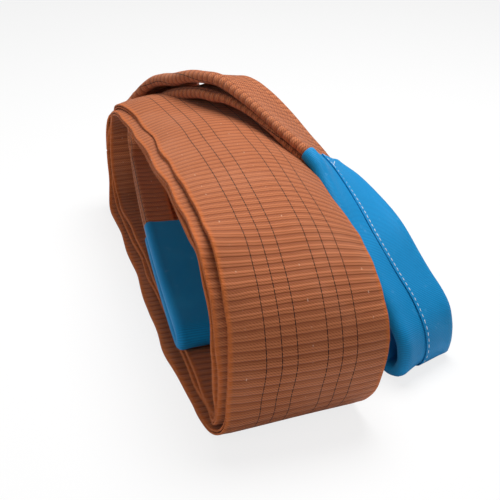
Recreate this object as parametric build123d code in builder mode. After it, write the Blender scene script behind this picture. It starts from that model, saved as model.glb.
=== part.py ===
from build123d import *
from math import atan2, cos, degrees, radians, sin, tan
import os

os.makedirs("parts", exist_ok=True)

# Duplex flat webbing sling with two folded, sleeved eyes, rolled up for storage.
# Millimetres. X runs across the webbing, Y along the roll, +Z up, and the roll
# lies on the plane z = 0. The origin is the middle of the roll's underside.

# ---- Webbing: two plies lying on each other -------------------------------
web_width = 180          # one tonne of rated load for each 30 mm
ply = 3.5                # thickness of one ply
ply_gap = 0.3            # between the two plies
turn_gap = 3.0           # between one turn of the roll and the next
body_thickness = 2 * ply + ply_gap
pitch = body_thickness + turn_gap

# ---- Roll, seen along X: the corners of its outermost face -----------------
roll_length = 690        # near side to far side
near_top_height = 210    # where the near side meets the rising top
crest_height = 257       # where the two slopes of the top meet
crest_from_near = 310
far_top_height = 213     # where the falling top meets the far side
near_bottom_bend = 100   # bend radii at those corners
near_top_bend = 110
crest_bend = 700
far_top_bend = 100
far_bottom_bend = 85
sides_per_turn = 5
last_side = 14           # the top's far slope, in the third turn
outer_end_height = 95    # the plies' outer end, on the far side
sag_start = 10           # right of the roll's middle, where its edge begins to sag
sag_drop = 26            # of the near top corner at the right-hand edge
sagged_crest_from_near = 445  # at that edge, still on the far slope
sagged_near_top_bend = 88
sagged_crest_bend = 300
inner_end_from_near = 500  # the plies' inner end, under the top's far slope

# ---- Eyes: each ply folds to half its width and makes one leg ---------------
leg_width = web_width / 2
fold_air = 3             # trapped between the folded halves
leg_thickness = 2 * ply + fold_air
sleeve_wall = 1.6
sleeve_clearance = 0.4
sleeve_flap = 31         # width of the overlap that closes the sleeve
fold_bevel = 0.3         # of the thickness, on folded edges
root_stations = 20       # sections of a ply on its way from flat to folded
hinge_slot = 0.3         # between an eye and its root, where the webbing flexes
rest_gap = 0.4           # between an eye and the roll that carries it

# ---- Outer eye: over the far end and along the top, off the right-hand edge --
outer_hinge_from_near = 497
outer_hinge_shift = 50   # of the legs' middle, to the right of the roll's
outer_heading = 19       # degrees that the legs bear to the right of -Y
outer_rise = 2           # degrees that the legs rise towards the crest
outer_spread = 22        # between the middles of the two legs
outer_root_spread = 13   # the same, on the far side
outer_root_inset = 2     # of the lower leg's middle, inside the roll's far face
outer_root_bend = 95
outer_leg_bend = 160     # of the lower leg, where it drops off the roll
lower_drop = 70          # degrees below level, after that bend
upper_drop = 64
outer_reach = 425        # hinge to the middle of the eye's end, along the legs
bight_radius = 21        # middle of the webbing, round the eye's end
bight_ease = 0.98        # of that radius, at each of the bight's two corners
outer_sleeve_run = 4     # sleeved part of the upper leg, before it drops

# ---- Inner eye: inside the roll, lying down towards the near end -------------
inner_root_run = 4       # from the middle of the root's bend to the hinge
inner_shift = 57         # of the legs' middle, to the left of the roll's
inner_slope = 8          # degrees that the legs fall towards the near end
inner_spread = 20
inner_tip_from_near = 188
inner_sleeve_length = 225

sleeve_width = leg_width + 2 * (sleeve_clearance + sleeve_wall)
sleeve_thickness = leg_thickness + 2 * (sleeve_clearance + sleeve_wall)
skin = sleeve_clearance + sleeve_wall
flap_edge = sleeve_width / 2 - sleeve_thickness * fold_bevel


def direction(angle):
    return Vector(cos(radians(angle)), sin(radians(angle)))


def meet(point, angle, other_point, other_angle):
    """Where two lines cross, each given by a point and its direction."""
    d, e = direction(angle), direction(other_angle)
    gap = other_point - point
    return point + d * ((gap.X * e.Y - gap.Y * e.X) / (d.X * e.Y - d.Y * e.X))


def local(*points):
    """Points as tuples, which a line builder reads on its own plane."""
    return [(point.X, point.Y) for point in points]


def folded_section(width, thickness):
    """Webbing seen end on, with a bevel on each side of its folded edges."""
    x, y, bevel = width / 2, thickness / 2, thickness * fold_bevel
    right = [(x - bevel, -y), (x, bevel - y), (x, y - bevel), (x - bevel, y)]
    Polygon(*right, *[(-a, b) for a, b in reversed(right)])


# ---- Roll's path: sides followed from the far side down, round and inwards --
step = pitch / sides_per_turn
near_face = -roll_length / 2
far_face = roll_length / 2
near_y = near_face - step
far_y = far_face - step
turn_corners = [
    Vector(far_y, 0),
    Vector(near_y, 0),
    Vector(near_y, near_top_height),
    Vector(near_y + crest_from_near, crest_height),
    Vector(far_y, far_top_height),
]
turn_bends = [
    far_bottom_bend,
    near_bottom_bend,
    near_top_bend,
    crest_bend,
    far_top_bend,
]

# At the right-hand edge the near side is lower, and the top rises for longer.
far_slope = turn_corners[4] - turn_corners[3]
far_slope_run = sagged_crest_from_near - crest_from_near
sagged_corners = [
    *turn_corners[:2],
    turn_corners[2] - Vector(0, sag_drop),
    turn_corners[3] + far_slope * (far_slope_run / far_slope.X),
    turn_corners[4],
]
sagged_bends = [*turn_bends[:2], sagged_near_top_bend, sagged_crest_bend, turn_bends[4]]
roll_sections = [
    (-web_width / 2, turn_corners, turn_bends),
    (sag_start, turn_corners, turn_bends),
    (web_width / 2, sagged_corners, sagged_bends),
]


def side(number, depth, corners=turn_corners):
    """A point on a side of the roll and the side's direction, lying deeper by
    depth than the outermost face, and a step deeper on each side. Side 0 is the
    far one, side 1 the bottom, and so on round the turns."""
    start = corners[(number - 1) % sides_per_turn]
    run = corners[number % sides_per_turn] - start
    inward = Vector(run.Y, -run.X).normalized()
    inset = depth + step * (number - 1)
    return start + inward * inset, degrees(atan2(run.Y, run.X))


def corner(number, depth, corners=turn_corners):
    return meet(*side(number, depth, corners), *side(number + 1, depth, corners))


def bend(number, depth, bends=turn_bends):
    inset = depth + step * (number - 0.5)
    return bends[number % sides_per_turn] - inset


def bend_centre(number):
    return meet(*side(number, bend(number, 0)), *side(number + 1, bend(number, 0)))


# The plies' inner end is cut square to the last side.
last_angle = side(last_side, 0)[1]
inner_end = meet(*side(last_side, 0), Vector(near_face + inner_end_from_near, 0), 90)


def roll_path(depth, corners, bends):
    """Points and bend radii of a face of the webbing, end to end."""
    first, first_angle = side(0, depth, corners)
    last, last_angle = side(last_side, depth, corners)
    start = meet(first, first_angle, Vector(0, outer_end_height), 0)
    end = meet(last, last_angle, inner_end, last_angle + 90)
    points = [start] + [corner(i, depth, corners) for i in range(last_side)] + [end]
    return points, [bend(i, depth, bends) for i in range(last_side)]


# ---- The two plies of the rolled body ----------------------------------------
outer_ply_depth = 0
inner_ply_depth = ply + ply_gap


def ply_outline(depth, corners, bends):
    """One ply seen along X, from its outer end to its inner end."""
    face, radii = roll_path(depth, corners, bends)
    back, back_radii = roll_path(depth + ply, corners, bends)
    FilletPolyline(*face, radius=radii)
    FilletPolyline(*back, radius=back_radii)
    Line(face[0], back[0])
    Line(face[-1], back[-1])


with BuildPart() as outer_ply:
    for x, corners, bends in roll_sections:
        with BuildSketch(Plane.YZ.offset(x)):
            with BuildLine():
                ply_outline(outer_ply_depth, corners, bends)
            make_face()
    loft(ruled=True)

with BuildPart() as inner_ply:
    for x, corners, bends in roll_sections:
        with BuildSketch(Plane.YZ.offset(x)):
            with BuildLine():
                ply_outline(inner_ply_depth, corners, bends)
            make_face()
    loft(ruled=True)

# ---- Outer eye's lines, in its own upright plane: (along the legs, up) -------
hinge_x = outer_hinge_shift
hinge_y = near_face + outer_hinge_from_near
heading = Vector(sin(radians(outer_heading)), -cos(radians(outer_heading)), 0)
across = Vector(cos(radians(outer_heading)), sin(radians(outer_heading)), 0)
eye_plane = Plane(origin=(hinge_x, hinge_y, 0), x_dir=heading, z_dir=-across)

# The lower leg, in its sleeve, clears the roll's crest.
crest_centre = bend_centre(3)
crest_top = crest_centre.Y + bend(3, 0)
crest_along = (crest_centre.X - hinge_y) / heading.Y
lower_height = (
    crest_top
    + rest_gap
    + skin
    + leg_thickness / 2
    - crest_along * tan(radians(outer_rise))
)
upper_height = lower_height + outer_spread / cos(radians(outer_rise))

bight_centre = Vector(
    outer_reach, bight_radius + leg_thickness / 2 + skin + sleeve_wall + rest_gap
)


def tangent_point(centre, radius, angle):
    """The point of a circle where a line with this direction has it on the right."""
    return centre + direction(angle + 90) * radius


upper_start = Vector(hinge_slot, upper_height)
lower_start = Vector(hinge_slot, lower_height)
upper_drop_point = tangent_point(bight_centre, bight_radius, -upper_drop)
lower_drop_point = tangent_point(bight_centre, bight_radius, 180 - lower_drop)
bight_angle = -(upper_drop + lower_drop) / 2 - 90
bight_point = tangent_point(bight_centre, bight_radius, bight_angle)
upper_corner = meet(upper_start, outer_rise, upper_drop_point, -upper_drop)
lower_corner = meet(lower_start, outer_rise, lower_drop_point, 180 - lower_drop)
bight_corners = [
    meet(upper_drop_point, -upper_drop, bight_point, bight_angle),
    meet(lower_drop_point, 180 - lower_drop, bight_point, bight_angle),
]
eye_bends = [
    outer_leg_bend + outer_spread,
    bight_radius * bight_ease,
    bight_radius * bight_ease,
    outer_leg_bend,
]
sleeve_lift = direction(outer_rise) * outer_sleeve_run
upper_bend_start = upper_corner - direction(outer_rise) * (
    eye_bends[0] * tan(radians(outer_rise + upper_drop) / 2)
)
lower_bend_start = lower_corner - direction(outer_rise) * (
    eye_bends[3] * tan(radians(outer_rise + lower_drop) / 2)
)

with BuildPart() as outer_eye_strap:
    with BuildLine(eye_plane) as path:
        FilletPolyline(
            *local(upper_start, upper_corner, *bight_corners, lower_corner, lower_start),
            radius=eye_bends,
        )
    with BuildSketch(Plane(origin=path.line @ 0, x_dir=across, z_dir=path.line % 0)):
        folded_section(leg_width, leg_thickness)
    sweep(path=path.line)

with BuildPart() as outer_eye_sleeve:
    with BuildLine(eye_plane) as path:
        FilletPolyline(
            *local(
                upper_bend_start - sleeve_lift,
                upper_corner,
                *bight_corners,
                lower_corner,
                lower_bend_start - sleeve_lift,
            ),
            radius=eye_bends,
        )
    sleeve_start = Plane(origin=path.line @ 0, x_dir=across, z_dir=path.line % 0)
    with BuildSketch(sleeve_start):
        folded_section(sleeve_width, sleeve_thickness)
        with Locations((flap_edge, sleeve_thickness / 2)):
            Rectangle(sleeve_flap, sleeve_wall, align=(Align.MAX, Align.MIN))
    sweep(path=path.line)
    with BuildSketch(sleeve_start):
        folded_section(leg_width + 2 * sleeve_clearance, leg_thickness + 2 * sleeve_clearance)
    sweep(path=path.line, mode=Mode.SUBTRACT)

# ---- Inner eye's lines, in the roll's own upright plane: (y, z) ----------------
inner_floor = 2 * pitch + body_thickness
inner_bight = Vector(
    near_face + inner_tip_from_near,
    inner_floor + rest_gap + skin + leg_thickness / 2 + inner_spread / 2,
)
far_bend_centre = bend_centre(last_side - sides_per_turn)
inner_hinge_y = far_bend_centre.X - inner_root_run
inner_plane = Plane.YZ.offset(-inner_shift)


def on_leg(offset, y):
    """The point of a leg's middle line at y, offset from the eye's own middle."""
    start = inner_bight + direction(inner_slope + 90) * offset
    return meet(start, inner_slope, Vector(y, 0), 90)


upper_end = on_leg(inner_spread / 2, inner_hinge_y)
lower_end = on_leg(-inner_spread / 2, inner_hinge_y)
slot = direction(inner_slope) * hinge_slot


def hairpin(sleeve_only):
    """Upper leg, round the eye's end, and the lower leg."""
    start, end = upper_end - slot, lower_end - slot
    if sleeve_only:
        run = direction(inner_slope) * inner_sleeve_length
        start = on_leg(inner_spread / 2, inner_bight.X) + run
        end = on_leg(-inner_spread / 2, inner_bight.X) + run
    upper_tip = inner_bight + direction(inner_slope + 90) * (inner_spread / 2)
    lower_tip = inner_bight - direction(inner_slope + 90) * (inner_spread / 2)
    middle = inner_bight - direction(inner_slope) * (inner_spread / 2)
    Line(*local(start, upper_tip))
    ThreePointArc(*local(upper_tip, middle, lower_tip))
    Line(*local(lower_tip, end))


with BuildPart() as inner_eye_strap:
    with BuildLine(inner_plane) as path:
        hairpin(sleeve_only=False)
    with BuildSketch(Plane(origin=path.line @ 0, x_dir=(1, 0, 0), z_dir=path.line % 0)):
        folded_section(leg_width, leg_thickness)
    sweep(path=path.line)

with BuildPart() as inner_eye_sleeve:
    with BuildLine(inner_plane) as path:
        hairpin(sleeve_only=True)
    sleeve_start = Plane(origin=path.line @ 0, x_dir=(1, 0, 0), z_dir=path.line % 0)
    with BuildSketch(sleeve_start):
        folded_section(sleeve_width, sleeve_thickness)
    sweep(path=path.line)
    with BuildSketch(sleeve_start):
        folded_section(leg_width + 2 * sleeve_clearance, leg_thickness + 2 * sleeve_clearance)
    sweep(path=path.line, mode=Mode.SUBTRACT)


# ---- Roots: each ply folds from its full width to a leg on the way to its eye --
def ease(t):
    """Smooth step from 0 to 1, level at both ends."""
    return 3 * t**2 - 2 * t**3


def root_planes(line, ply_offset, shift, end_heading):
    """Planes across a folding ply, each with its share of the way gone.

    line is the leg's middle line without its shift. The ply starts beside it,
    ply_offset to its left, and ends on it, shifted across the roll. Each plane
    turns only as far as the heading, so that a wide ply stays on its bend."""
    length = line.length
    bias = tan(radians(end_heading)) * length / shift
    planes = []
    for i in range(root_stations + 1):
        t = i / root_stations
        along = line % t
        left = Vector(0, -along.Z, along.Y)
        x = shift * ((3 - bias) * t**2 + (bias - 2) * t**3)
        beside = ply_offset * (1 - ease(t))
        beside_slope = -ply_offset * 6 * (t - t**2) / length
        sideways = Vector(tan(radians(end_heading * ease(t))), 0, 0)
        along = (along + left * beside_slope + sideways).normalized()
        width = (Vector(1, 0, 0) - along * along.X).normalized()
        origin = line @ t + left * beside + Vector(x, 0, 0)
        planes.append((t, Plane(origin=origin, x_dir=width, z_dir=along)))
    return planes


def folding_section(t):
    """Flat ply at t = 0, folded leg at t = 1."""
    width = web_width + (leg_width - web_width) * ease(t)
    thickness = ply + (leg_thickness - ply) * ease(t)
    folded_section(width, thickness)


# Outer eye: up the far side and over the far end to the hinge.
lower_side_y = far_face - outer_root_inset
upper_side_y = lower_side_y + outer_root_spread
outer_ply_y = far_face - outer_ply_depth - ply / 2
inner_ply_y = far_face - inner_ply_depth - ply / 2


def outer_root_line(side_y, hinge_height, radius):
    hinge_point = Vector(hinge_y, hinge_height)
    top = meet(hinge_point, 180 - outer_rise, Vector(side_y, 0), 90)
    points = local(Vector(side_y, outer_end_height), top, hinge_point)
    FilletPolyline(*points, radius=radius)


with BuildPart() as outer_eye_upper_root:
    with BuildLine(Plane.YZ) as path:
        outer_root_line(upper_side_y, upper_height, outer_root_bend + outer_root_spread)
    beside = upper_side_y - outer_ply_y
    for t, plane in root_planes(path.wire(), beside, outer_hinge_shift, outer_heading):
        with BuildSketch(plane):
            folding_section(t)
    loft(ruled=True)

with BuildPart() as outer_eye_lower_root:
    with BuildLine(Plane.YZ) as path:
        outer_root_line(lower_side_y, lower_height, outer_root_bend)
    beside = lower_side_y - inner_ply_y
    for t, plane in root_planes(path.wire(), beside, outer_hinge_shift, outer_heading):
        with BuildSketch(plane):
            folding_section(t)
    loft(ruled=True)

# Inner eye: on along the last side, round under the far end's bend and back.
lower_leg_depth = outer_ply_depth + leg_thickness / 2


def inner_root_line(inward, exit_point):
    """Along the last side, round a bend and out on the leg's own line. The bend
    starts where the turn above it starts its own."""
    run_point, run_angle = side(last_side, lower_leg_depth + inward)
    start = meet(run_point, run_angle, inner_end, run_angle + 90)
    bend_start = meet(run_point, run_angle, far_bend_centre, run_angle + 90)
    apex = meet(run_point, run_angle, exit_point, inner_slope)
    half_turn = (180 + run_angle - inner_slope) / 2
    radius = (apex - bend_start).length / tan(radians(half_turn))
    FilletPolyline(*local(start, apex, exit_point), radius=radius)


with BuildPart() as inner_eye_lower_root:
    with BuildLine(Plane.YZ) as path:
        inner_root_line(0, lower_end)
    beside = (leg_thickness - ply) / 2
    for t, plane in root_planes(path.wire(), beside, -inner_shift, 0):
        with BuildSketch(plane):
            folding_section(t)
    loft(ruled=True)

with BuildPart() as inner_eye_upper_root:
    with BuildLine(Plane.YZ) as path:
        inner_root_line(inner_spread, upper_end)
    beside = (leg_thickness - ply) / 2 + inner_spread - ply - ply_gap
    for t, plane in root_planes(path.wire(), beside, -inner_shift, 0):
        with BuildSketch(plane):
            folding_section(t)
    loft(ruled=True)

# ---- Files -----------------------------------------------------------------
outer_ply.part.label = "outer_ply"
export_step(outer_ply.part, "parts/outer_ply.step")
inner_ply.part.label = "inner_ply"
export_step(inner_ply.part, "parts/inner_ply.step")
outer_eye_upper_root.part.label = "outer_eye_upper_root"
export_step(outer_eye_upper_root.part, "parts/outer_eye_upper_root.step")
outer_eye_lower_root.part.label = "outer_eye_lower_root"
export_step(outer_eye_lower_root.part, "parts/outer_eye_lower_root.step")
outer_eye_strap.part.label = "outer_eye_strap"
export_step(outer_eye_strap.part, "parts/outer_eye_strap.step")
outer_eye_sleeve.part.label = "outer_eye_sleeve"
export_step(outer_eye_sleeve.part, "parts/outer_eye_sleeve.step")
inner_eye_upper_root.part.label = "inner_eye_upper_root"
export_step(inner_eye_upper_root.part, "parts/inner_eye_upper_root.step")
inner_eye_lower_root.part.label = "inner_eye_lower_root"
export_step(inner_eye_lower_root.part, "parts/inner_eye_lower_root.step")
inner_eye_strap.part.label = "inner_eye_strap"
export_step(inner_eye_strap.part, "parts/inner_eye_strap.step")
inner_eye_sleeve.part.label = "inner_eye_sleeve"
export_step(inner_eye_sleeve.part, "parts/inner_eye_sleeve.step")
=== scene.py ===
"""Dresses a rolled duplex web sling: its plies, folded eyes, wear sleeves and stitching."""

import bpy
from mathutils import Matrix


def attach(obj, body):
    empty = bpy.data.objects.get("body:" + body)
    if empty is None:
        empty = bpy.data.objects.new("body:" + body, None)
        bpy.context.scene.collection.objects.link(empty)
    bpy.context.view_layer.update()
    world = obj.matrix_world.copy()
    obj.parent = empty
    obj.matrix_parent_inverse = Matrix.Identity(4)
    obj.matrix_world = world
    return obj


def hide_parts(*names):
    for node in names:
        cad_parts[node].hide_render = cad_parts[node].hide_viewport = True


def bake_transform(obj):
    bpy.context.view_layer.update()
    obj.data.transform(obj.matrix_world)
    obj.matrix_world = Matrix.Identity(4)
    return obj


bl_info = {
    "name": "Rolled Web Sling",
    "version": (1, 0, 0),
    "blender": (4, 5, 0),
    "location": "3D View > Sidebar > Web Sling",
    "description": "Builds the webbing, folded eyes, wear sleeves and stitching of a rolled web sling",
    "category": "Object",
}

import math

import bmesh
import bpy
from bpy.props import FloatProperty, FloatVectorProperty, PointerProperty
from mathutils import Matrix, Vector, noise

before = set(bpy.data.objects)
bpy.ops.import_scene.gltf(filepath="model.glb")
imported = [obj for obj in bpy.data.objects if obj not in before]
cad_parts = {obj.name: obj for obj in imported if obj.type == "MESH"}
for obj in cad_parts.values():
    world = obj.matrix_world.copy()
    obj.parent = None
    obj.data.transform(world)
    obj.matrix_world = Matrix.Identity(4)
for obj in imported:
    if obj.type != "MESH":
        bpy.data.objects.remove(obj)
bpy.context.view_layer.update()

MM = 0.001
HALF_WIDTH = 90.0  # of the webbing laid flat, in mm
HALF_LEG = 45.0  # of the webbing folded to half its width, in mm


# ---- Small sums -------------------------------------------------------------
def ease(t):
    """Smooth step from 0 to 1, held beyond both ends."""
    t = min(1.0, max(0.0, t))
    return t * t * (3 - 2 * t)


def lerp(a, b, t):
    return a + (b - a) * t


def hump(x, middle, reach):
    """1 at the middle, easing to 0 at reach to either side."""
    return ease(1 - abs(x - middle) / reach)


class Track:
    """A smooth line through points, read by the length gone along it.

    Each point is a Vector of any size, so that heights, widths and other
    values can ride along with the place. size is how many of its numbers are
    the place, which alone counts towards the length."""

    def __init__(self, points, size=3, closed=False, steps=24):
        self.closed = closed
        n = len(points)
        spans = n if closed else n - 1
        self.values, self.lengths = [], [0.0]
        for i in range(spans):
            around = [self._pick(points, i + k) for k in (-1, 0, 1, 2)]
            for j in range(steps):
                self._add(self._curve(around, j / steps), size)
        self._add(points[0] if closed else points[-1], size)
        self.length = self.lengths[-1]

    def _pick(self, points, i):
        n = len(points)
        if self.closed:
            return points[i % n]
        if i < 0:
            return points[0] * 2 - points[1]
        if i >= n:
            return points[-1] * 2 - points[-2]
        return points[i]

    @staticmethod
    def _curve(p, t):
        a = p[1]
        b = (p[2] - p[0]) * 0.5
        c = p[0] - p[1] * 2.5 + p[2] * 2 - p[3] * 0.5
        d = (p[3] - p[0]) * 0.5 + (p[1] - p[2]) * 1.5
        return a + b * t + c * (t * t) + d * (t * t * t)

    def _add(self, value, size):
        if self.values:
            step = sum((value[k] - self.values[-1][k]) ** 2 for k in range(size)) ** 0.5
            self.lengths.append(self.lengths[-1] + step)
        self.values.append(value)

    def at(self, length):
        """The line's values this far along it."""
        if self.closed:
            length %= self.length
        length = min(max(length, 0.0), self.length)
        low, high = 0, len(self.lengths) - 1
        while high - low > 1:
            mid = (low + high) // 2
            if self.lengths[mid] <= length:
                low = mid
            else:
                high = mid
        gap = self.lengths[high] - self.lengths[low]
        t = (length - self.lengths[low]) / gap if gap > 0 else 0.0
        return self.values[low].lerp(self.values[high], t)

    def along(self, length, reach):
        """Direction of the line, over a stretch of this reach to either side."""
        a = self.at(length - reach) if self.closed else self.at(max(length - reach, 0))
        b = self.at(length + reach)
        return b - a

    def nearest(self, test, start=0.0, end=None, step=2.0):
        """Length at which test of the value is smallest."""
        end = self.length if end is None else end
        count = max(2, int((end - start) / step))
        places = [start + (end - start) * i / count for i in range(count + 1)]
        return min(places, key=lambda s: test(self.at(s)))


# ---- Shared mesh work -------------------------------------------------------
THICKEST = 1.2  # how thick a wall gets beside a short edge, as a share of that edge
EDGE_ANGLE = 62  # sharper edges than this many degrees are rounded off
EDGE_SEGMENTS = 2


def piece_from(bm, name):
    """A new object from a finished bmesh."""
    mesh = bpy.data.meshes.new(name)
    bm.to_mesh(mesh)
    bm.free()
    piece = bpy.data.objects.new(name, mesh)
    bpy.context.scene.collection.objects.link(piece)
    return piece


def ribbon(name, across, along, place, thickness, round_off):
    """A strip of woven cloth with a thickness and rounded edges.

    across and along are its flat stations in mm, and place(v, s) says where a
    flat point lies, in mm. The flat place stays as the UV map, in metres."""
    bm = bmesh.new()
    uv_layer = bm.loops.layers.uv.new("flat")
    bmesh.ops.create_grid(
        bm,
        x_segments=len(across) - 1,
        y_segments=len(along) - 1,
        size=1.0,
    )
    flat = {}
    for vert in bm.verts:
        i = round((vert.co.x + 1) / 2 * (len(across) - 1))
        j = round((vert.co.y + 1) / 2 * (len(along) - 1))
        flat[vert] = (across[i], along[j])
    for face in bm.faces:
        face.smooth = True
        for loop in face.loops:
            v, s = flat[loop.vert]
            loop[uv_layer].uv = (v * MM, s * MM)
    for vert, (v, s) in flat.items():
        vert.co = Vector(place(v, s)) * MM
    piece = piece_from(bm, name)
    wall = piece.modifiers.new("thickness", "SOLIDIFY")
    wall.thickness = thickness * MM
    wall.offset = 0.0
    wall.use_even_offset = False
    wall.thickness_clamp = THICKEST
    edge = piece.modifiers.new("soft edge", "BEVEL")
    edge.width = round_off * MM
    edge.segments = EDGE_SEGMENTS
    edge.limit_method = "ANGLE"
    edge.angle_limit = math.radians(EDGE_ANGLE)
    settle(piece)
    return piece


def settle(piece):
    """Applies what modifiers a piece has."""
    bpy.context.view_layer.update()
    depsgraph = bpy.context.evaluated_depsgraph_get()
    mesh = bpy.data.meshes.new_from_object(piece.evaluated_get(depsgraph))
    old = piece.data
    piece.modifiers.clear()
    piece.data = mesh
    bpy.data.meshes.remove(old)
    mesh.name = piece.name
    for polygon in mesh.polygons:
        polygon.use_smooth = True


def stations(start, end, step):
    """Even stations from start to end, about a step apart."""
    count = max(1, round(abs(end - start) / step))
    return [start + (end - start) * i / count for i in range(count + 1)]


def mixed_stations(*runs):
    """Stations of several runs that follow each other, each (start, end, step)."""
    places = [runs[0][0]]
    for start, end, step in runs:
        places += stations(start, end, step)[1:]
    return places


# ---- Roll -------------------------------------------------------------------
# The roll's side view in mm, far side first and on under the roll: what its
# outer face would be if no turn lay inside the one before.
ROLL_OUTLINE = (
    (345, 95),
    (338.4, 46),
    (305.4, 8),
    (245, -1.2),
    (120, -1.9),
    (0, -2.6),
    (-120, -3.4),
    (-245, -4.1),
    (-304.6, 6.4),
    (-339.6, 53.6),
    (-350.2, 117),
    (-327, 174.8),
    (-275.5, 215.7),
    (-217.5, 236.7),
    (-100, 249.9),
    (0, 248),
    (60, 245.9),
    (166, 234.5),
    (246.5, 227),
    (308, 205),
    (343.5, 158),
)
# Along the roll's length on the top and round the near end: y, how far the left
# edge lifts, how far the right edge sinks.
EDGE_LINE = (
    (345, -12, 2),
    (200, -14, 10),
    (60, -16, 24),
    (-50, -9, 34),
    (-147, -3, 38),
    (-215, 4, 33),
    (-262, 17, 27),
    (-300, 9, 18),
    (-330, -2, 12),
    (-345, -6, 4),
)
# How far a turn slid sideways, out of line with the others: turns from the
# webbing's start, mm to the right.
TURN_SLIDE = (
    (0.0, -20),
    (0.06, -24),
    (0.3, -24),
    (0.39, -13),
    (0.46, 3),
    (0.5, 8),
    (0.8, 8),
    (0.95, -8),
    (1.05, -18),
    (1.25, -8),
    (1.5, -2),
    (1.75, -6),
    (2.0, -16),
    (2.3, -4),
    (2.6, -5),
    (2.8, -6),
    (3.0, -6),
)
# The edges' lift and droop set in above this height, over this much more.
UPPER_PART = (20, 120)
NEAR_END = -200  # y past which the roll bends down at its near end
NOSE_HEIGHT = 117  # height at which the near end reaches furthest
# Under it the left edge draws in and the right one stands out, most at a height.
NOSE_DRAW, NOSE_MOST_AT, NOSE_REACH = 6, 40, 60
FAR_END = 300  # y past which the roll bends down at its far end
# The left edge there draws in, from a height on and over this much more.
FAR_DRAW, FAR_DRAW_FROM, FAR_DRAW_OVER = 12, 100, 60
TOE = (-322, 22)  # y and height of the near end's lower bend
TOE_REACH = 55  # how far round there the webbing is shaped by it
TOE_OUT, TOE_LEFT_OUT, TOE_RIGHT_IN = 3, 7, 6
INNER_CALM = 0.12  # how much less each turn inside lifts and droops
WAVY_START = 70  # mm over which the left edge's waves set in
WAVY_END = (2.7, 0.12)  # turns at which they fade out, and over how many
EDGE_WAVE = 5.0  # of the left edge, sideways
EDGE_CURL, EDGE_DRAW = 2.6, 1.4  # of the left edge, out and in, and how far it lies in
SWAY = 1.2  # of the whole webbing, out and in
roll_track = Track([Vector(p) for p in ROLL_OUTLINE], size=2, closed=True, steps=16)


def edge_values(y):
    """Lift of the left edge and drop of the right one at this place on the top."""
    if y >= EDGE_LINE[0][0]:
        return EDGE_LINE[0][1:]
    for (far, *before), (near, *after) in zip(EDGE_LINE, EDGE_LINE[1:]):
        if near <= y:
            t = ease((far - y) / (far - near))
            return [lerp(a, b, t) for a, b in zip(before, after)]
    return EDGE_LINE[-1][1:]


def turn_slide(turn):
    """Mm that the webbing slid to the right after this many turns."""
    for (a, left), (b, right) in zip(TURN_SLIDE, TURN_SLIDE[1:]):
        if turn <= b:
            return lerp(left, right, ease((turn - a) / (b - a)))
    return TURN_SLIDE[-1][1]


def rolled(v, length, depth, sling):
    """Where a flat point of the rolled webbing lies.

    v is across from the middle and length along, in mm, and depth is how far
    the ply lies under the roll's outer face."""
    place = roll_track.at(length)
    forward = roll_track.along(length, 6.0).normalized()
    outward = Vector((-forward.y, forward.x))
    turn = length / roll_track.length
    height = place.y
    up_side = ease((height - UPPER_PART[0]) / UPPER_PART[1])
    left = max(-v, 0.0) / HALF_WIDTH
    right = max(v, 0.0) / HALF_WIDTH
    # The left edge lifts and the right one droops, less so on the turns inside.
    lift, drop = edge_values(place.x)
    if height < NOSE_HEIGHT and place.x < NEAR_END:
        draw = NOSE_DRAW + NOSE_DRAW * hump(height, NOSE_MOST_AT, NOSE_REACH)
        lift, drop = -draw, draw
    if place.x > FAR_END:
        lift, drop = -FAR_DRAW * ease((height - FAR_DRAW_FROM) / FAR_DRAW_OVER), 0
    off = (lift * left**2 - drop * right**2) * up_side * (1 - INNER_CALM * turn)
    off -= depth + sling.turn_pitch * turn
    # The near end's lower bend stands out on the left and lies in on the right.
    toe = ease(1 - math.hypot(place.x - TOE[0], height - TOE[1]) / TOE_REACH)
    off += toe * (TOE_OUT + TOE_LEFT_OUT * left - TOE_RIGHT_IN * right)
    # The left edge waves in and out, and the whole sways a little.
    fade = 1 - ease((turn - WAVY_END[0]) / WAVY_END[1])
    edge = left**3 * ease(length / WAVY_START) * fade
    wave = noise.noise(Vector((length * 0.014, turn * 1.7, 9.2)))
    curl = noise.noise(Vector((length * 0.011, turn * 2.3, 5.5)))
    sway = SWAY * noise.noise(Vector((length * 0.006, v * 0.012, 3.1)))
    off += (EDGE_CURL * curl - EDGE_DRAW) * edge
    return (
        v + turn_slide(turn) - EDGE_WAVE * wave * edge,
        place.x + outward.x * (off + sway * up_side),
        place.y + outward.y * (off + sway * up_side),
    )


# ---- Eyes -------------------------------------------------------------------
# A line of an eye's webbing holds, in mm and degrees: x, y and z of the middle, the
# direction of its width in plan (to the left of +X), how far it is folded (0 to 1),
# how far its right side hangs down, the radii of its left and right folds, and how
# much more of the cloth is turned in on the left than on the right.
HEADING, FOLD, BANK, LEFT_FOLD, RIGHT_FOLD, SHIFT = range(3, 9)
RIGHT_TO_LEFT = 0.72  # the outer eye's right fold against its left one
HINGE_PLACE = (50, 152)  # x and y where the outer eye's legs leave the roll
# Two places where the legs bow out sideways: how far, where along and over what.
LEG_BOW, LEG_BOW_AT, LEG_BOW_REACH = 7, 255, 80
END_BOW, END_BOW_FROM, END_BOW_OVER = 4, 350, 50
FULL_SHIFT = 23  # of the cloth turned in, on both legs towards the eye
LOWER_SHIFT = 6  # the same, where the lower leg starts
INNER_FOLD = 4.6  # radius of the inner eye's folds
INNER_RISE = math.radians(8)  # slope of the inner eye's legs
INNER_MIDDLE = -57  # x of the inner eye's middle at its near end
INNER_DRIFT = 0.000117  # its drift to the right with the square of the way back
INNER_NEAR = -157  # y where the middle between its legs is this high
INNER_HEIGHT = 45.3
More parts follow.
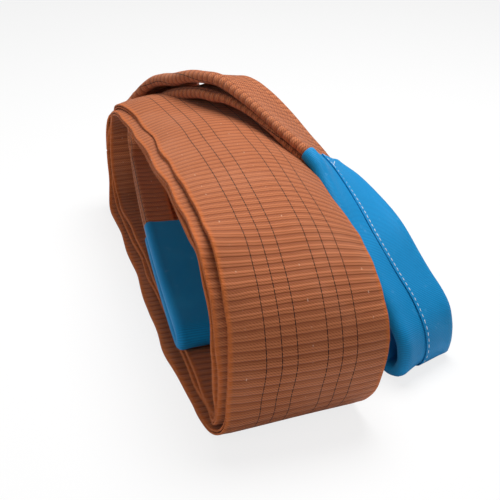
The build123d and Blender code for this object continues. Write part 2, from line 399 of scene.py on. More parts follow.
# The outer eye's two legs: how far along from the hinge, height, width's
# direction, bank, left fold's radius.
OUTER_UPPER = (
    (-165, 213, 17, 8, 7.5),
    (-129, 228, 18, 10, 8.3),
    (-96, 237, 19, 11, 8.3),
    (-69, 245.5, 19, 13.5, 8.3),
    (-43, 253, 19, 15, 8.3),
    (-17, 259.1, 19, 15, 8.3),
    (12, 261.8, 19, 18.5, 8.2),
    (38, 260, 19, 22, 7.8),
    (67, 254.5, 19, 24.5, 7),
    (97, 247, 19, 27.5, 6.2),
    (127, 237.5, 19, 30.5, 5.6),
    (156, 228, 20, 33, 5.3),
    (184, 218.5, 20, 35, 5.8),
    (211, 207.5, 21, 36, 6.6),
    (241, 191.5, 22, 28, 6.8),
    (287, 166.5, 23, 16, 6.8),
    (330, 140.5, 25, 6, 6.4),
    (363, 113.5, 26, 3, 5.8),
    (395, 85, 27, 0, 5.2),
    (415, 60, 28, 0, 5.2),
    (421, 34, 28, 0, 5.2),
    (415, 14, 28, 0, 4.8),
    (403, 9.4, 28, 0, 4.4),
    (391.5, 15, 28, 0, 4.4),
)
OUTER_LOWER = (
    (-150, 191, 17, 0, 6.5),
    (-131, 205, 18, -2, 7.2),
    (-92, 222.5, 19, -2.5, 7.5),
    (-55, 234, 19, -0.5, 7.5),
    (-20, 243, 19, 1, 7.3),
    (13, 243.5, 19, 6.5, 6.8),
    (46, 242, 19, 17, 5.8),
    (77, 236.5, 19, 24.5, 4.8),
    (107.5, 231.5, 19, 28, 4.3),
    (137, 222.5, 19, 31, 4.1),
    (166, 212, 20, 33.5, 4.1),
    (194, 201, 20, 35, 4.1),
    (217, 188, 21, 34, 4.1),
    (243, 171, 22, 24, 4.1),
    (278, 149, 23, 13, 4.1),
    (313, 126, 25, 5, 4.1),
    (341, 100, 26, 2, 4.1),
    (366, 68, 27, 0, 4.1),
    (380, 38, 28, 0, 4.1),
)


def outer_ahead(sling):
    """Level direction in which the outer eye runs from its hinge."""
    turn = math.radians(sling.outer_heading)
    return Vector((math.sin(turn), -math.cos(turn), 0))


def outer_line(sling):
    """From the outer ply's end up, over the top, round the eye and back."""
    ahead = outer_ahead(sling)

    def on_leg(row, shift):
        along, height, heading, bank, radius = row
        aside = LEG_BOW * hump(along, LEG_BOW_AT, LEG_BOW_REACH)
        aside += END_BOW * ease((along - END_BOW_FROM) / END_BOW_OVER)
        x = HINGE_PLACE[0] + ahead.x * along - ahead.y * aside
        y = HINGE_PLACE[1] + ahead.y * along + ahead.x * aside
        folds = (radius, radius * RIGHT_TO_LEFT)
        return Vector((x, y, height, heading, 1, bank, *folds, shift))

    def upper(row):
        return on_leg(row, FULL_SHIFT * ease((row[0] + 150) / 165))

    def lower(row):
        more = (FULL_SHIFT - LOWER_SHIFT) * ease((row[0] - 60) / 200)
        return on_leg(row, LOWER_SHIFT + more)

    return [
        Vector((-20, 343.3, 92.5, 0, 0, 0, 4, 4, 0)),
        Vector((-18, 345, 128, 1, 0.12, 0, 5, 4, 0)),
        Vector((-10, 341, 173, 9, 0.6, 3, 6.5, 5, 0)),
        *[upper(row) for row in OUTER_UPPER],
        *[lower(row) for row in reversed(OUTER_LOWER)],
        Vector((-10, 326, 152, 9, 0.6, 3, 5.5, 5, 0)),
        Vector((-18, 336, 120, 1, 0.12, 0, 5, 4, 0)),
        Vector((-20, 339.5, 92.5, 0, 0, 0, 4, 4, 0)),
    ]


def inner_line():
    """From the outer ply's inner end round the far end's inside to the inner eye."""

    def on(x, y, z, fold=1):
        return Vector((x, y, z, 0, fold, 0, INNER_FOLD, INNER_FOLD, 0))

    def on_leg(y, offset):
        height = INNER_HEIGHT + (y - INNER_NEAR) * math.tan(INNER_RISE)
        return on(
            INNER_MIDDLE + INNER_DRIFT * (y + 160) ** 2,
            y - math.sin(INNER_RISE) * offset,
            height + math.cos(INNER_RISE) * offset,
        )

    legs = (220, 150, 80, 10, -60, -115)
    bend = ((-150, 9.8), (-163.5, 7.0))
    return [
        on(-6, 152.5, 201.3, 0),
        on(-7, 180, 198.5, 0.08),
        on(-13, 215, 195, 0.35),
        on(-24, 250, 188.5, 0.65),
        on(-30, 279, 167, 0.88),
        on(-36, 292, 135),
        on(-35, 282, 104),
        on(-37, 256, 93),
        *[on_leg(y, -10) for y in legs],
        *[on_leg(y, -offset) for y, offset in bend],
        on_leg(-167.5, 0),
        *[on_leg(y, offset) for y, offset in reversed(bend)],
        *[on_leg(y, 10) for y in reversed(legs)],
        on(-38, 252, 114),
        on(-35, 266, 124),
        on(-33, 270, 142, 0.95),
        on(-28, 260, 163, 0.8),
        on(-24, 236, 181, 0.6),
        on(-13, 208, 190.5, 0.32),
        on(-7, 180, 194.6, 0.08),
        on(-6, 152.5, 197.4, 0),
    ]


OPEN_FOLD = 14.0  # radius at which a fold starts to close
PRESSED = 14.0  # width over which a fold eases to the flat between the folds


def folded(v, fold, left, right, core, shift):
    """A ply with its edges turned in under it: across the leg, and out from its middle.

    The folds, with their radii left and right, are rounder than the flat between
    them, whose half thickness is core. shift is how much more of the cloth is turned
    in on the left than on the right."""
    w = v - shift * fold
    side = 1 if w >= 0 else -1
    u = abs(w)
    length = HALF_WIDTH - side * shift * fold
    target = right if side > 0 else left
    shut = ease(fold * 1.6)
    r = lerp(OPEN_FOLD, target, shut)
    top = target * shut
    half = lerp(length, HALF_LEG - target, fold)
    bend = max(0.0, min(math.pi * r, length - half))
    if u <= half:
        p, q = u, lerp(top, min(core, top), ease((half - u) / PRESSED) * fold)
    elif u <= half + bend:
        angle = (u - half) / r
        p, q = half + r * math.sin(angle), top - r * (1 - math.cos(angle))
    else:
        run = u - half - bend
        p, q = half - run, lerp(top - 2 * r, -core, ease(run / PRESSED) * fold)
    return side * p, q


def ahead_at(track, s, reach=5.0):
    """Direction in which an eye's line runs."""
    return Vector(track.along(s, reach)[:3]).normalized()


def banked(track, s):
    """Middle, width and outward directions of an eye's webbing, and the line's values.

    The width follows the heading in plan and hangs down to the right by the bank."""
    here = track.at(s)
    forward = ahead_at(track, s)
    turn = math.radians(here[HEADING])
    width = Vector((math.cos(turn), math.sin(turn), 0))
    width = (width - forward * width.dot(forward)).normalized()
    level = Vector((width.x, width.y, 0)).normalized()
    bank = math.radians(here[BANK])
    lean = Vector((level.x * math.cos(bank), level.y * math.cos(bank), -math.sin(bank)))
    width = (lean - forward * lean.dot(forward)).normalized()
    outward = forward.cross(width).normalized()
    return Vector(here[:3]), width, outward, here


def eye_place(track, core, droop, buckle):
    """A function that lays a flat point of folded webbing on an eye's line.

    core is half the thickness between the folds, droop how far the edges hang
    where the webbing is still flat, and buckle how far it ripples, in mm."""

    def place(v, s):
        middle, width, outward, here = banked(track, s)
        fold = here[FOLD]
        p, q = folded(v, fold, here[LEFT_FOLD], here[RIGHT_FOLD], core, here[SHIFT])
        ripple = buckle * noise.noise(Vector((s * 0.02, v * 0.03, 7.7)))
        spot = middle + width * p + outward * (q + ripple)
        spot.z -= droop * (v / HALF_WIDTH) ** 2 * (1 - ease(fold * 2))
        return spot

    return place


# ---- Materials --------------------------------------------------------------
class Nodes:
    """Short hand for a material's node tree."""

    def __init__(self, name):
        self.material = bpy.data.materials.new(name)
        self.material.use_nodes = True
        self.tree = self.material.node_tree
        self.tree.nodes.clear()
        self.out = self.add("ShaderNodeOutputMaterial")
        self.shader = self.add("ShaderNodeBsdfPrincipled")
        self.link(self.shader.outputs[0], self.out.inputs[0])

    def add(self, kind, **settings):
        node = self.tree.nodes.new(kind)
        for key, value in settings.items():
            setattr(node, key, value)
        return node

    def link(self, source, target):
        self.tree.links.new(source, target)

    def put(self, value, socket):
        """Links the value if it is another socket, and otherwise sets it."""
        if hasattr(value, "is_linked"):
            self.link(value, socket)
        else:
            socket.default_value = value

    def math(self, operation, a, b=0.0, c=0.0):
        node = self.add("ShaderNodeMath", operation=operation)
        for value, socket in zip((a, b, c), node.inputs):
            self.put(value, socket)
        return node.outputs[0]

    def step(self, value, low, high):
        """0 below low, easing to 1 at high."""
        node = self.add("ShaderNodeMapRange", interpolation_type="SMOOTHSTEP")
        self.put(value, node.inputs["Value"])
        node.inputs["From Min"].default_value = low
        node.inputs["From Max"].default_value = high
        return node.outputs["Result"]

    def mix(self, share, a, b):
        node = self.add("ShaderNodeMix", data_type="RGBA")
        self.put(share, node.inputs[0])
        for value, socket in ((a, node.inputs[6]), (b, node.inputs[7])):
            self.put((*value, 1) if isinstance(value, tuple) else value, socket)
        return node.outputs[2]

    def noise(self, vector, scale, detail, rough=0.55):
        node = self.add("ShaderNodeTexNoise")
        self.put(vector, node.inputs["Vector"])
        node.inputs["Scale"].default_value = scale
        node.inputs["Detail"].default_value = detail
        node.inputs["Roughness"].default_value = rough
        return node.outputs["Fac"]

    def ridges(self, value, pitch):
        """Rounded ridges, one for each pitch."""
        wave = self.math("SINE", self.math("MULTIPLY", value, math.pi / pitch))
        return self.math("ABSOLUTE", wave)

    def near(self, distance, full, none):
        """1 up to a distance of full, easing to 0 at none."""
        return self.math("SUBTRACT", 1.0, self.step(distance, full, none))

    def tint(self, colour, other, where, most):
        """The colour with at most this share of the other in it."""
        return self.mix(self.math("MULTIPLY", where, most), colour, tuple(other))

    def flat_place(self):
        """The cloth's flat map, and its place across and along, in metres."""
        uv = self.add("ShaderNodeUVMap", uv_map="flat")
        split = self.add("ShaderNodeSeparateXYZ")
        self.link(uv.outputs[0], split.inputs[0])
        return uv.outputs[0], split.outputs[0], split.outputs[1]

    def object_place(self):
        return self.add("ShaderNodeTexCoord").outputs["Object"]

    def bump(self, height, distance, strength=1.0, under=None):
        node = self.add("ShaderNodeBump")
        node.inputs["Strength"].default_value = strength
        node.inputs["Distance"].default_value = distance
        self.put(height, node.inputs["Height"])
        if under is not None:
            self.link(under, node.inputs["Normal"])
        return node.outputs[0]


# Measures of the weave, in metres.
FLOAT_GAP = 0.0036  # between slanting floats of the warp
RIB_GROUP = 0.012  # from one group of ribs to the next
SELVEDGE = (0.0835, 0.0885)  # from the middle: where it sets in, and is full
STRIPE_GAP = 0.017  # from one marker yarn to the next
STRIPES = 3  # marker yarns to each side of the middle
STITCH_ROW = 0.0715  # the outer rows of stitches, from the middle
STITCH_STEP = 0.0105
STITCH_COLOUR = (0.85, 0.62, 0.45)
SLEEVE_RIB = 0.0019
SLEEVE_STRAND = 0.0012
SCUFF_COLOUR = (0.35, 0.6, 0.85)
THREAD_SHADE = (0.55, 0.63, 0.72)


def webbing_material(sling):
    """Heavy ribbed webbing with marker yarns, stitch rows and selvedges."""
    n = Nodes("ribbed_webbing")
    uv, u, v = n.flat_place()
    aside = n.math("ABSOLUTE", u)
    wander = n.math("MULTIPLY", n.math("SUBTRACT", n.noise(uv, 60, 2), 0.5), 0.0016)
    line = n.math("ADD", v, wander)
    rib = n.math("POWER", n.ridges(line, sling.rib_pitch), 0.6)
    # Short slanting floats of the warp on each rib.
    slant = n.math("MULTIPLY", v, 1.1 / sling.rib_pitch)
    lean = n.math("ADD", n.math("MULTIPLY", u, 1 / FLOAT_GAP), slant)
    strand = n.math("POWER", n.ridges(lean, 1.0), 0.8)
    group = n.math("SINE", n.math("MULTIPLY", line, 2 * math.pi / RIB_GROUP))
    grain = n.noise(uv, 900, 2, 0.6)
    cloud = n.noise(n.object_place(), 9, 4, 0.6)
    weave = n.math("MULTIPLY_ADD", strand, 0.5, n.math("MULTIPLY", rib, 0.5))
    # Painted shade in the weave's recesses: the colour darkens between the ribs and floats, mixed with
    # a random grain that is the cloth's own.
    tone = n.step(n.math("MULTIPLY_ADD", grain, 0.35, n.math("MULTIPLY", weave, 0.75)), 0.15, 0.95)
    colour = n.mix(tone, tuple(sling.web_painted_shade), tuple(sling.web_colour))
    # Painted shade in the grooves between rib groups, where the coarse bump below sinks the surface.
    colour = n.tint(colour, sling.web_painted_shade, n.step(group, 0.1, 1.0), 0.55)
    colour = n.tint(colour, sling.web_worn, n.step(cloud, 0.45, 0.75), 0.25)
    colour = n.tint(colour, sling.web_edge, n.step(aside, *SELVEDGE), 0.75)
    # Marker yarns, darkest where they float over every second rib.
    nearest = n.math("ROUND", n.math("DIVIDE", aside, STRIPE_GAP))
    off = n.math("ABSOLUTE", n.math("SUBTRACT", aside, n.math("MULTIPLY", nearest, STRIPE_GAP)))
    first = n.math("GREATER_THAN", nearest, 0.5)
    last = n.math("LESS_THAN", nearest, STRIPES + 0.5)
    marker = n.math("MULTIPLY", n.near(off, 0.0003, 0.0007), n.math("MULTIPLY", first, last))
    pair = n.math("DIVIDE", v, 2 * sling.rib_pitch)
    skip = n.math("FRACT", n.math("ADD", pair, n.math("MULTIPLY", nearest, 0.37)))
    shown = n.math("MULTIPLY_ADD", n.step(skip, 0.14, 0.3), 0.55, 0.45)
    colour = n.mix(n.math("MULTIPLY", marker, shown), colour, tuple(sling.marker_colour))
    # Rows of stitches through both plies: the middle, and near each edge.
    row = n.math("MINIMUM", aside, n.math("ABSOLUTE", n.math("SUBTRACT", aside, STITCH_ROW)))
    dash = n.math("LESS_THAN", n.math("FRACT", n.math("DIVIDE", v, STITCH_STEP)), 0.3)
    stitch = n.math("MULTIPLY", n.near(row, 0.0003, 0.0008), dash)
    stitch = n.math("MULTIPLY", stitch, n.step(n.noise(uv, 70, 1), 0.5, 0.75))
    colour = n.tint(colour, STITCH_COLOUR, stitch, 0.75)
    n.put(colour, n.shader.inputs["Base Color"])
    n.put(n.math("MULTIPLY_ADD", weave, -0.18, 0.86), n.shader.inputs["Roughness"])
    n.put(0.1, n.shader.inputs["Sheen Weight"])
    n.put(0.5, n.shader.inputs["Sheen Roughness"])
    n.put(0.15, n.shader.inputs["Specular IOR Level"])
    coarse = n.bump(n.math("MULTIPLY", group, -1.0), 0.0007, 0.7)
    fine = n.bump(weave, 0.0012, 1.0, coarse)
    n.put(n.bump(grain, 0.0002, 0.6, fine), n.shader.inputs["Normal"])
    return n.material


def sleeve_material(sling):
    """Smooth, finely ribbed wear sleeve."""
    n = Nodes("sleeve_cloth")
    uv, u, v = n.flat_place()
    here = n.object_place()
    rib = n.ridges(v, SLEEVE_RIB)
    strand = n.ridges(u, SLEEVE_STRAND)
    weave = n.math("MULTIPLY_ADD", strand, 0.25, n.math("MULTIPLY", rib, 0.75))
    grain = n.noise(uv, 700, 2, 0.6)
    cloud = n.noise(here, 14, 4, 0.55)
    scuff = n.step(n.noise(here, 55, 5, 0.7), 0.62, 0.75)
    # Painted shade in the weave's recesses: the colour darkens between the sleeve's ribs and strands.
    tone = n.step(weave, 0.1, 0.9)
    colour = n.mix(tone, tuple(sling.sleeve_painted_shade), tuple(sling.sleeve_colour))
    colour = n.tint(colour, sling.sleeve_worn, n.step(cloud, 0.5, 0.75), 0.35)
    colour = n.tint(colour, SCUFF_COLOUR, scuff, 0.18)
    n.put(colour, n.shader.inputs["Base Color"])
    n.put(n.math("MULTIPLY_ADD", grain, 0.2, 0.5), n.shader.inputs["Roughness"])
    n.put(0.05, n.shader.inputs["Sheen Weight"])
    n.put(0.2, n.shader.inputs["Specular IOR Level"])
    fine = n.bump(weave, 0.0003, 0.8)
    n.put(n.bump(cloud, 0.002, 0.25, fine), n.shader.inputs["Normal"])
    return n.material


def thread_material(sling):
    """Twisted sewing thread."""
    n = Nodes("sewing_thread")
    grain = n.noise(n.object_place(), 900, 3, 0.6)
    colour = n.mix(n.step(grain, 0.3, 0.7), THREAD_SHADE, tuple(sling.thread_colour))
    n.put(colour, n.shader.inputs["Base Color"])
    n.put(0.65, n.shader.inputs["Roughness"])
    n.put(n.bump(grain, 0.0002, 0.8), n.shader.inputs["Normal"])
    return n.material


# ---- Settings ---------------------------------------------------------------
class SlingSettings(bpy.types.PropertyGroup):
    ply_thickness: FloatProperty(
        name="Ply thickness",
        description="Thickness of one ply, in mm",
        default=3.4,
    )
    turn_pitch: FloatProperty(
        name="Turn pitch",
        description="From one turn of the roll to the next, in mm",
        default=10.3,
    )
    rib_pitch: FloatProperty(
        name="Rib pitch",
        description="From one woven rib to the next",
        default=0.004,
        unit="LENGTH",
    )
    outer_heading: FloatProperty(
        name="Outer eye heading",
        description="Degrees that the outer eye bears off the roll's line",
        default=19.0,
    )
    web_colour: FloatVectorProperty(
        name="Webbing",
        description="Colour of the ribs",
        default=(0.56, 0.18, 0.07),
        subtype="COLOR",
    )
    # Painted shade: the darker colour laid between the ribs and in the grooves between rib groups.
    web_painted_shade: FloatVectorProperty(
        name="Webbing shade",
        description="Colour between the ribs",
        default=(0.2, 0.042, 0.011),
        subtype="COLOR",
    )
    web_worn: FloatVectorProperty(
        name="Worn webbing",
        description="Colour where it has rubbed",
        default=(0.6, 0.24, 0.13),
        subtype="COLOR",
    )
    web_edge: FloatVectorProperty(
        name="Selvedge",
        description="Colour of the edges",
        default=(0.6, 0.15, 0.03),
        subtype="COLOR",
    )
    marker_colour: FloatVectorProperty(
        name="Marker yarn",
        description="Colour of the load stripes",
        default=(0.012, 0.009, 0.008),
        subtype="COLOR",
    )
    sleeve_colour: FloatVectorProperty(
        name="Sleeve",
        description="Colour of the wear sleeves",
        default=(0.0, 0.27, 0.6),
        subtype="COLOR",
    )
    # Painted shade: the darker colour laid between the sleeve's ribs and strands.
    sleeve_painted_shade: FloatVectorProperty(
        name="Sleeve shade",
        description="Colour between the sleeve's ribs",
        default=(0.0, 0.16, 0.4),
        subtype="COLOR",
    )
    sleeve_worn: FloatVectorProperty(
        name="Worn sleeve",
        description="Colour where it has rubbed",
        default=(0.01, 0.32, 0.66),
        subtype="COLOR",
    )
    thread_colour: FloatVectorProperty(
        name="Thread",
        description="Colour of the sleeve's stitches",
        default=(0.86, 0.88, 0.9),
        subtype="COLOR",
    )


class StageSettings(bpy.types.PropertyGroup):
    floor_size: FloatProperty(
        name="Floor",
        description="Side of the floor",
        default=8.0,
        unit="LENGTH",
    )
    top_light: FloatProperty(
        name="Top light",
        description="Power of the light overhead",
        default=34.0,
        unit="POWER",
    )
    fill_light: FloatProperty(
        name="Fill light",
        description="Power of the light from the left",
        default=5.0,
        unit="POWER",
    )
    lens: FloatProperty(
        name="Lens",
        description="Focal length, in mm",
        default=72.0,
    )


def material_of(name, make):
    """The material of this name, made when first asked for."""
    return bpy.data.materials.get(name) or make(bpy.context.scene.web_sling)


def dress(piece, material):
    piece.data.materials.clear()
    piece.data.materials.append(material)


# ---- Webbing ----------------------------------------------------------------
# In mm, but for the bends.
OUTER_DEPTH = 1.75  # of the outer ply's middle under the roll's outer face
INNER_DEPTH = 5.55
INNER_END = 155  # y at which the third turn stops, under the top
UNDERNEATH = 500  # counts against a place under the roll when that end is sought
ROUND_OFF = 1.3  # of the webbing's edges
ROLL_STEP = 5.5  # between stations along the roll
EYE_STEP = 6  # between stations along an eye
LEG_CORE = 2.7  # half the outer eye's thickness between its folds
INNER_CORE = 3.0
LEG_BUCKLE = 0.8  # how far the outer eye's webbing ripples
INNER_BUCKLE = 0.6
INNER_DROOP = 9.0  # of the inner eye's flat ends, at their edges


class SLING_OT_rolled_plies(bpy.types.Operator):
    """Rolls up the two plies of the webbing"""

    bl_idname = "sling.rolled_plies"
    bl_label = "Rolled plies"

    def execute(self, context):
        sling = context.scene.web_sling
        material = material_of("ribbed_webbing", webbing_material)
        third_turn = roll_track.nearest(
            lambda p: abs(p[0] - INNER_END) + (UNDERNEATH if p[1] < NOSE_HEIGHT else 0)
        )
        inner_end = 2 * roll_track.length + third_turn
        across = mixed_stations((-90, -84, 3), (-84, 84, 8), (84, 90, 3))
        for name, node, depth in (
            ("outer_ply_webbing", "outer_ply", OUTER_DEPTH),
            ("inner_ply_webbing", "inner_ply", INNER_DEPTH),
        ):
            piece = ribbon(
                name,
                across,
                stations(0, inner_end, ROLL_STEP),
                lambda v, s: rolled(v, s, depth, sling),
                sling.ply_thickness,
                ROUND_OFF,
            )
            dress(piece, material)
            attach(piece, "roll")
            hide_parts(node)
        return {"FINISHED"}


class SLING_OT_outer_eye(bpy.types.Operator):
    """Folds the plies into the outer eye's legs"""

    bl_idname = "sling.outer_eye"
    bl_label = "Outer eye"

    def execute(self, context):
        sling = context.scene.web_sling
        track = Track(outer_line(sling))
        piece = ribbon(
            "outer_eye_webbing",
            mixed_stations((-90, -50, 6), (-50, -18, 2), (-18, 52, 7), (52, 78, 2), (78, 90, 4)),
            stations(0, track.length, EYE_STEP),
            eye_place(track, LEG_CORE, 0.0, LEG_BUCKLE),
            sling.ply_thickness,
            ROUND_OFF,
        )
        dress(piece, material_of("ribbed_webbing", webbing_material))
        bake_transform(piece)
        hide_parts("outer_eye_strap", "outer_eye_upper_root", "outer_eye_lower_root")
        return {"FINISHED"}


class SLING_OT_inner_eye(bpy.types.Operator):
    """Folds the plies into the inner eye's legs"""

    bl_idname = "sling.inner_eye"
    bl_label = "Inner eye"

    def execute(self, context):
        sling = context.scene.web_sling
        track = Track(inner_line())
        piece = ribbon(
            "inner_eye_webbing",
            mixed_stations((-90, -58, 6), (-58, -38, 2), (-38, 38, 7.6), (38, 58, 2), (58, 90, 6)),
            stations(0, track.length, EYE_STEP),
            eye_place(track, INNER_CORE, INNER_DROOP, INNER_BUCKLE),
            sling.ply_thickness,
            ROUND_OFF,
        )
        dress(piece, material_of("ribbed_webbing", webbing_material))
        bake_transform(piece)
        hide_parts("inner_eye_strap", "inner_eye_upper_root", "inner_eye_lower_root")
        return {"FINISHED"}


# ---- Sleeves ----------------------------------------------------------------
# In mm.
SLEEVE_ROUND = 222.0  # once round a leg with the lap, laid flat
LEG_SEARCH = 0.65  # share of each half of an eye's line in which its sleeve may end
SLEEVE_THICKNESS = 1.5
SLEEVE_ROUND_OFF = 0.5
OUTER_ENDS = (-42, -46)  # y of the outer sleeve's ends on the upper and lower legs
INNER_ENDS = (66, 66)
FREE_EDGE = -7.0  # of the flap, from the leg's middle
TUCKED_EDGE = 22.0  # under the flap
SKIN = 2.8  # from the middle of the webbing's thickness to the sleeve's
LAP = 1.7  # from the tucked edge up to the flap
BELLY = 0.6  # how far the underside stands out beside the folds
PUFF = 1.0  # how far the sleeve ripples
FOLD_STEPS = 6  # round each fold of the sleeve's section
SEAM = FREE_EDGE + 4  # where the stitches lie
THREAD_RISE = 0.9  # of a stitch's middle over the flap's
STITCH_PITCH = 7.0
STITCH_MARGIN = 3  # from the sleeve's ends to the first and last stitch
LOOSE_END = 21  # from the sleeve's end to the loose thread
LOOSE_RISE = 8.6  # of that thread's middle over the webbing's
THREAD_REACH = 3.0  # to either side over which a stitch takes its direction
STITCH_SIZE = (2.5, 0.65, 0.45)  # half length, half width and half thickness
LOOSE_SIZE = (2.6, 0.45)  # half length and radius


def sleeved(track, ends):
    """Lengths along an eye's line between which its sleeve lies."""
    half = track.length / 2
    first = track.nearest(lambda p: abs(p[1] - ends[0]), half * (1 - LEG_SEARCH), half)
    last = track.nearest(lambda p: abs(p[1] - ends[1]), half, half * (1 + LEG_SEARCH))
    return first, last


def sleeve_section(left, right):
    """Once round a leg, from the tucked edge under the flap to the flap's free edge."""
    round_left, round_right, flat = left + SKIN, right + SKIN, LEG_CORE + SKIN
    a, b = left - HALF_LEG, HALF_LEG - right
    # The top under the flap, and down beside the left fold.
    points = [Vector((x, flat)) for x in (TUCKED_EDGE, 8, -4, a + 24)]
    points += [Vector((a + x, lerp(flat, round_left, t))) for x, t in ((13, 0.4), (6, 0.82))]
    for i in range(FOLD_STEPS + 1):
        angle = math.pi * i / FOLD_STEPS
        points.append(Vector((a - round_left * math.sin(angle), round_left * math.cos(angle))))
    # The underside.
    points += [Vector((a + 10, -flat - BELLY)), Vector((-8, -flat)), Vector((12, -flat))]
    points.append(Vector((b - 10, -flat - BELLY)))
    # Round the right fold, rising to the flap, and over the tucked edge.
    for i in range(FOLD_STEPS + 1):
        angle = math.pi * i / FOLD_STEPS
        out = round_right + LAP * i / FOLD_STEPS
        points.append(Vector((b + out * math.sin(angle), -out * math.cos(angle))))
    points += [Vector((x, flat + LAP)) for x in (b - 14, 12, 4, FREE_EDGE)]
    return Track(points, size=2, steps=5)


def sleeve_place(track):
    """A function that lays a flat point of a sleeve round an eye's line."""
    made = {}

    def place(w, s):
        if s not in made:
            middle, width, outward, here = banked(track, s)
            section = sleeve_section(here[LEFT_FOLD], here[RIGHT_FOLD])
            made[s] = (middle, width, outward, section)
        middle, width, outward, section = made[s]
        p, q = section.at(w / SLEEVE_ROUND * section.length)
        puff = PUFF * noise.noise(Vector((s * 0.014, w * 0.012, 1.3)))
        return middle + width * p + outward * (q + math.copysign(puff, q))

    return place


class SLING_OT_sleeves(bpy.types.Operator):
    """Wraps the wear sleeves round the eyes"""

    bl_idname = "sling.sleeves"
    bl_label = "Wear sleeves"

    def execute(self, context):
        material = material_of("sleeve_cloth", sleeve_material)
        outer = Track(outer_line(context.scene.web_sling))
        inner = Track(inner_line())
        for name, node, body, track, ends in (
            ("outer_sleeve", "outer_eye_sleeve", "outer_eye", outer, OUTER_ENDS),
            ("inner_sleeve", "inner_eye_sleeve", "inner_eye", inner, INNER_ENDS),
        ):
            first, last = sleeved(track, ends)
            piece = ribbon(
                name,
                stations(0, SLEEVE_ROUND, 4),
                stations(first, last, 5),
                sleeve_place(track),
                SLEEVE_THICKNESS,
                SLEEVE_ROUND_OFF,
            )
            dress(piece, material)
            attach(piece, body)
            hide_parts(node)
        return {"FINISHED"}


def lay_thread(bm, spot, run, side, up):
    """Adds a short piece of thread, with its half length and half widths as vectors."""
    made = bmesh.ops.create_uvsphere(bm, u_segments=8, v_segments=5, radius=1.0)
    lay = Matrix((run, side, up)).transposed()
    for vert in made["verts"]:
        vert.co = (spot + lay @ Vector((vert.co.z, vert.co.x, vert.co.y))) * MM


class SLING_OT_stitching(bpy.types.Operator):
    """Sews the outer sleeve's flap down"""

    bl_idname = "sling.stitching"
    bl_label = "Stitching"

    def execute(self, context):
        track = Track(outer_line(context.scene.web_sling))
        first, last = sleeved(track, OUTER_ENDS)
        bm = bmesh.new()
        s = first + STITCH_MARGIN
        while s < last - STITCH_MARGIN:
            middle, width, outward, _ = banked(track, s)
            spot = middle + width * SEAM + outward * (LEG_CORE + SKIN + LAP + THREAD_RISE)
            forward = ahead_at(track, s, THREAD_REACH)
            long, wide, thick = STITCH_SIZE
            lay_thread(bm, spot, forward * long, width * wide, outward * thick)
            s += STITCH_PITCH
        # A loose end of thread by the first stitches, in three pieces.
        middle, width, outward, _ = banked(track, first + LOOSE_END)
        forward = ahead_at(track, first + LOOSE_END, THREAD_REACH)
        long, thin = LOOSE_SIZE
        lead = width * SEAM + outward * LOOSE_RISE
        for reach, rise in ((0, 0.2), (3.4, 1.1), (6.8, 2.2)):
            run = (width - forward * 0.7 + outward * 0.15 * rise).normalized()
            side = run.cross(outward).normalized()
            spot = middle + lead + run * reach
            lay_thread(bm, spot, run * long, side * thin, run.cross(side) * thin)
        bmesh.ops.recalc_face_normals(bm, faces=bm.faces)
        for face in bm.faces:
            face.smooth = True
        piece = piece_from(bm, "sleeve_stitches")
        dress(piece, material_of("sewing_thread", thread_material))
        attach(piece, "outer_eye")
        return {"FINISHED"}


# ---- Stage ------------------------------------------------------------------
# Lamps: place, what they point at, and size, in metres.
TOP_LAMP = ((0.35, 0.25, 1.7), (0.0, -0.05, 0.1), 1.1)
FILL_LAMP = ((-1.6, -0.9, 1.1), (0.0, 0.0, 0.1), 1.4)
WORLD_LIGHT = 0.24  # strength of the world as a light, against 1 as a backdrop
CAMERA_PLACE = (-0.3007, -1.1808, 0.7187)
CAMERA_LOOK = (0.242, 0.8491, -0.4695)
SENSOR = 36  # width, in mm
FLOOR_GAP = 0.0002  # between the floor and the object's lowest face
FLOOR_SHADE = 0.9
FLOOR_GLOW = 0.8  # how much of the floor the camera sees as plain white


def lamp(name, place, target, size, power):
    """Hangs a round area light that points at its target."""
    light = bpy.data.lights.new(name, "AREA")
    light.shape = "DISK"
    light.size = size
    light.energy = power
    piece = bpy.data.objects.new(name, light)
    piece.location = place
    piece.rotation_euler = (Vector(target) - Vector(place)).to_track_quat("-Z", "Y").to_euler()
    bpy.context.scene.collection.objects.link(piece)


def place_camera(scene, lens):
    """Points the scene's camera at the object, level with the horizon."""
    data = bpy.data.cameras.new("camera")
    data.lens = lens
    data.sensor_width = SENSOR
    camera = bpy.data.objects.new("camera", data)
    look = Vector(CAMERA_LOOK)
    right = look.cross(Vector((0, 0, 1))).normalized()
    up = right.cross(look)
    turn = Matrix((right, up, -look)).transposed().to_4x4()
    turn.translation = Vector(CAMERA_PLACE)
    camera.matrix_world = turn
    scene.collection.objects.link(camera)
    scene.camera = camera


def floor_material():
    """Pale floor that keeps the object's shadow."""
    material = bpy.data.materials.new("pale_floor")
    material.use_nodes = True
    tree = material.node_tree
    tree.nodes.clear()
    out = tree.nodes.new("ShaderNodeOutputMaterial")
    cloth = tree.nodes.new("ShaderNodeBsdfDiffuse")
    cloth.inputs["Color"].default_value = (FLOOR_SHADE, FLOOR_SHADE, FLOOR_SHADE, 1)
    glow = tree.nodes.new("ShaderNodeEmission")
    path = tree.nodes.new("ShaderNodeLightPath")
    share = tree.nodes.new("ShaderNodeMath")
    share.operation = "MULTIPLY"
    share.inputs[1].default_value = FLOOR_GLOW
    blend = tree.nodes.new("ShaderNodeMixShader")
    tree.links.new(path.outputs["Is Camera Ray"], share.inputs[0])
    tree.links.new(share.outputs[0], blend.inputs[0])
    tree.links.new(cloth.outputs[0], blend.inputs[1])
    tree.links.new(glow.outputs[0], blend.inputs[2])
    tree.links.new(blend.outputs[0], out.inputs[0])
    return material


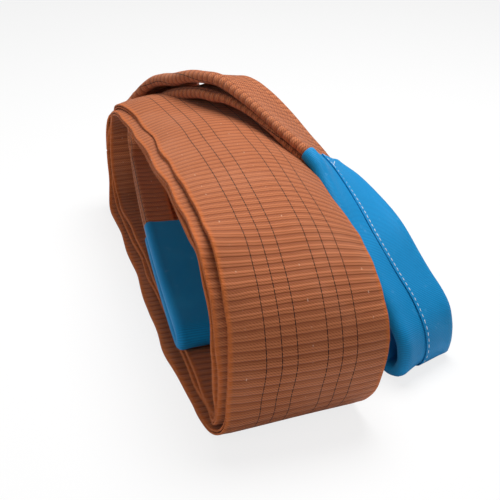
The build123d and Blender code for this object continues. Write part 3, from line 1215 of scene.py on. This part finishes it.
def white_world():
    """A world that the camera sees as white and that lights the object softly."""
    world = bpy.data.worlds.new("studio")
    world.use_nodes = True
    tree = world.node_tree
    back = tree.nodes["Background"]
    back.inputs["Color"].default_value = (1, 1, 1, 1)
    path = tree.nodes.new("ShaderNodeLightPath")
    seen = tree.nodes.new("ShaderNodeMapRange")
    seen.inputs["To Min"].default_value = WORLD_LIGHT
    tree.links.new(path.outputs["Is Camera Ray"], seen.inputs["Value"])
    tree.links.new(seen.outputs["Result"], back.inputs["Strength"])
    return world


class SLING_OT_stage(bpy.types.Operator):
    """Sets the floor, the studio lights and the camera"""

    bl_idname = "sling.stage"
    bl_label = "Stage"

    def execute(self, context):
        scene = context.scene
        stage = scene.web_sling_stage
        bm = bmesh.new()
        bmesh.ops.create_grid(bm, x_segments=1, y_segments=1, size=stage.floor_size / 2)
        floor = piece_from(bm, "floor")
        floor.location.z = -FLOOR_GAP
        dress(floor, floor_material())
        scene.world = white_world()
        lamp("top_light", *TOP_LAMP, stage.top_light)
        lamp("fill_light", *FILL_LAMP, stage.fill_light)
        place_camera(scene, stage.lens)
        scene.view_settings.view_transform = "Standard"
        return {"FINISHED"}


class SLING_PT_panel(bpy.types.Panel):
    """Lists the steps, sizes and colours of the sling"""

    bl_idname = "SLING_PT_panel"
    bl_label = "Web Sling"
    bl_space_type = "VIEW_3D"
    bl_region_type = "UI"
    bl_category = "Web Sling"

    def draw(self, context):
        layout = self.layout
        for step in STEPS:
            layout.operator(step.bl_idname)
        for group in (context.scene.web_sling, context.scene.web_sling_stage):
            for key in group.__annotations__:
                layout.prop(group, key)


STEPS = (
    SLING_OT_stage,
    SLING_OT_rolled_plies,
    SLING_OT_outer_eye,
    SLING_OT_inner_eye,
    SLING_OT_sleeves,
    SLING_OT_stitching,
)
CLASSES = (SlingSettings, StageSettings, *STEPS, SLING_PT_panel)


def register():
    for cls in CLASSES:
        bpy.utils.register_class(cls)
    bpy.types.Scene.web_sling = PointerProperty(type=SlingSettings)
    bpy.types.Scene.web_sling_stage = PointerProperty(type=StageSettings)


def unregister():
    del bpy.types.Scene.web_sling_stage
    del bpy.types.Scene.web_sling
    for cls in reversed(CLASSES):
        bpy.utils.unregister_class(cls)


def main():
    """Builds every piece and the stage."""
    register()
    for step in STEPS:
        group, name = step.bl_idname.split(".")
        getattr(getattr(bpy.ops, group), name)()


if __name__ == "__main__":
    main()
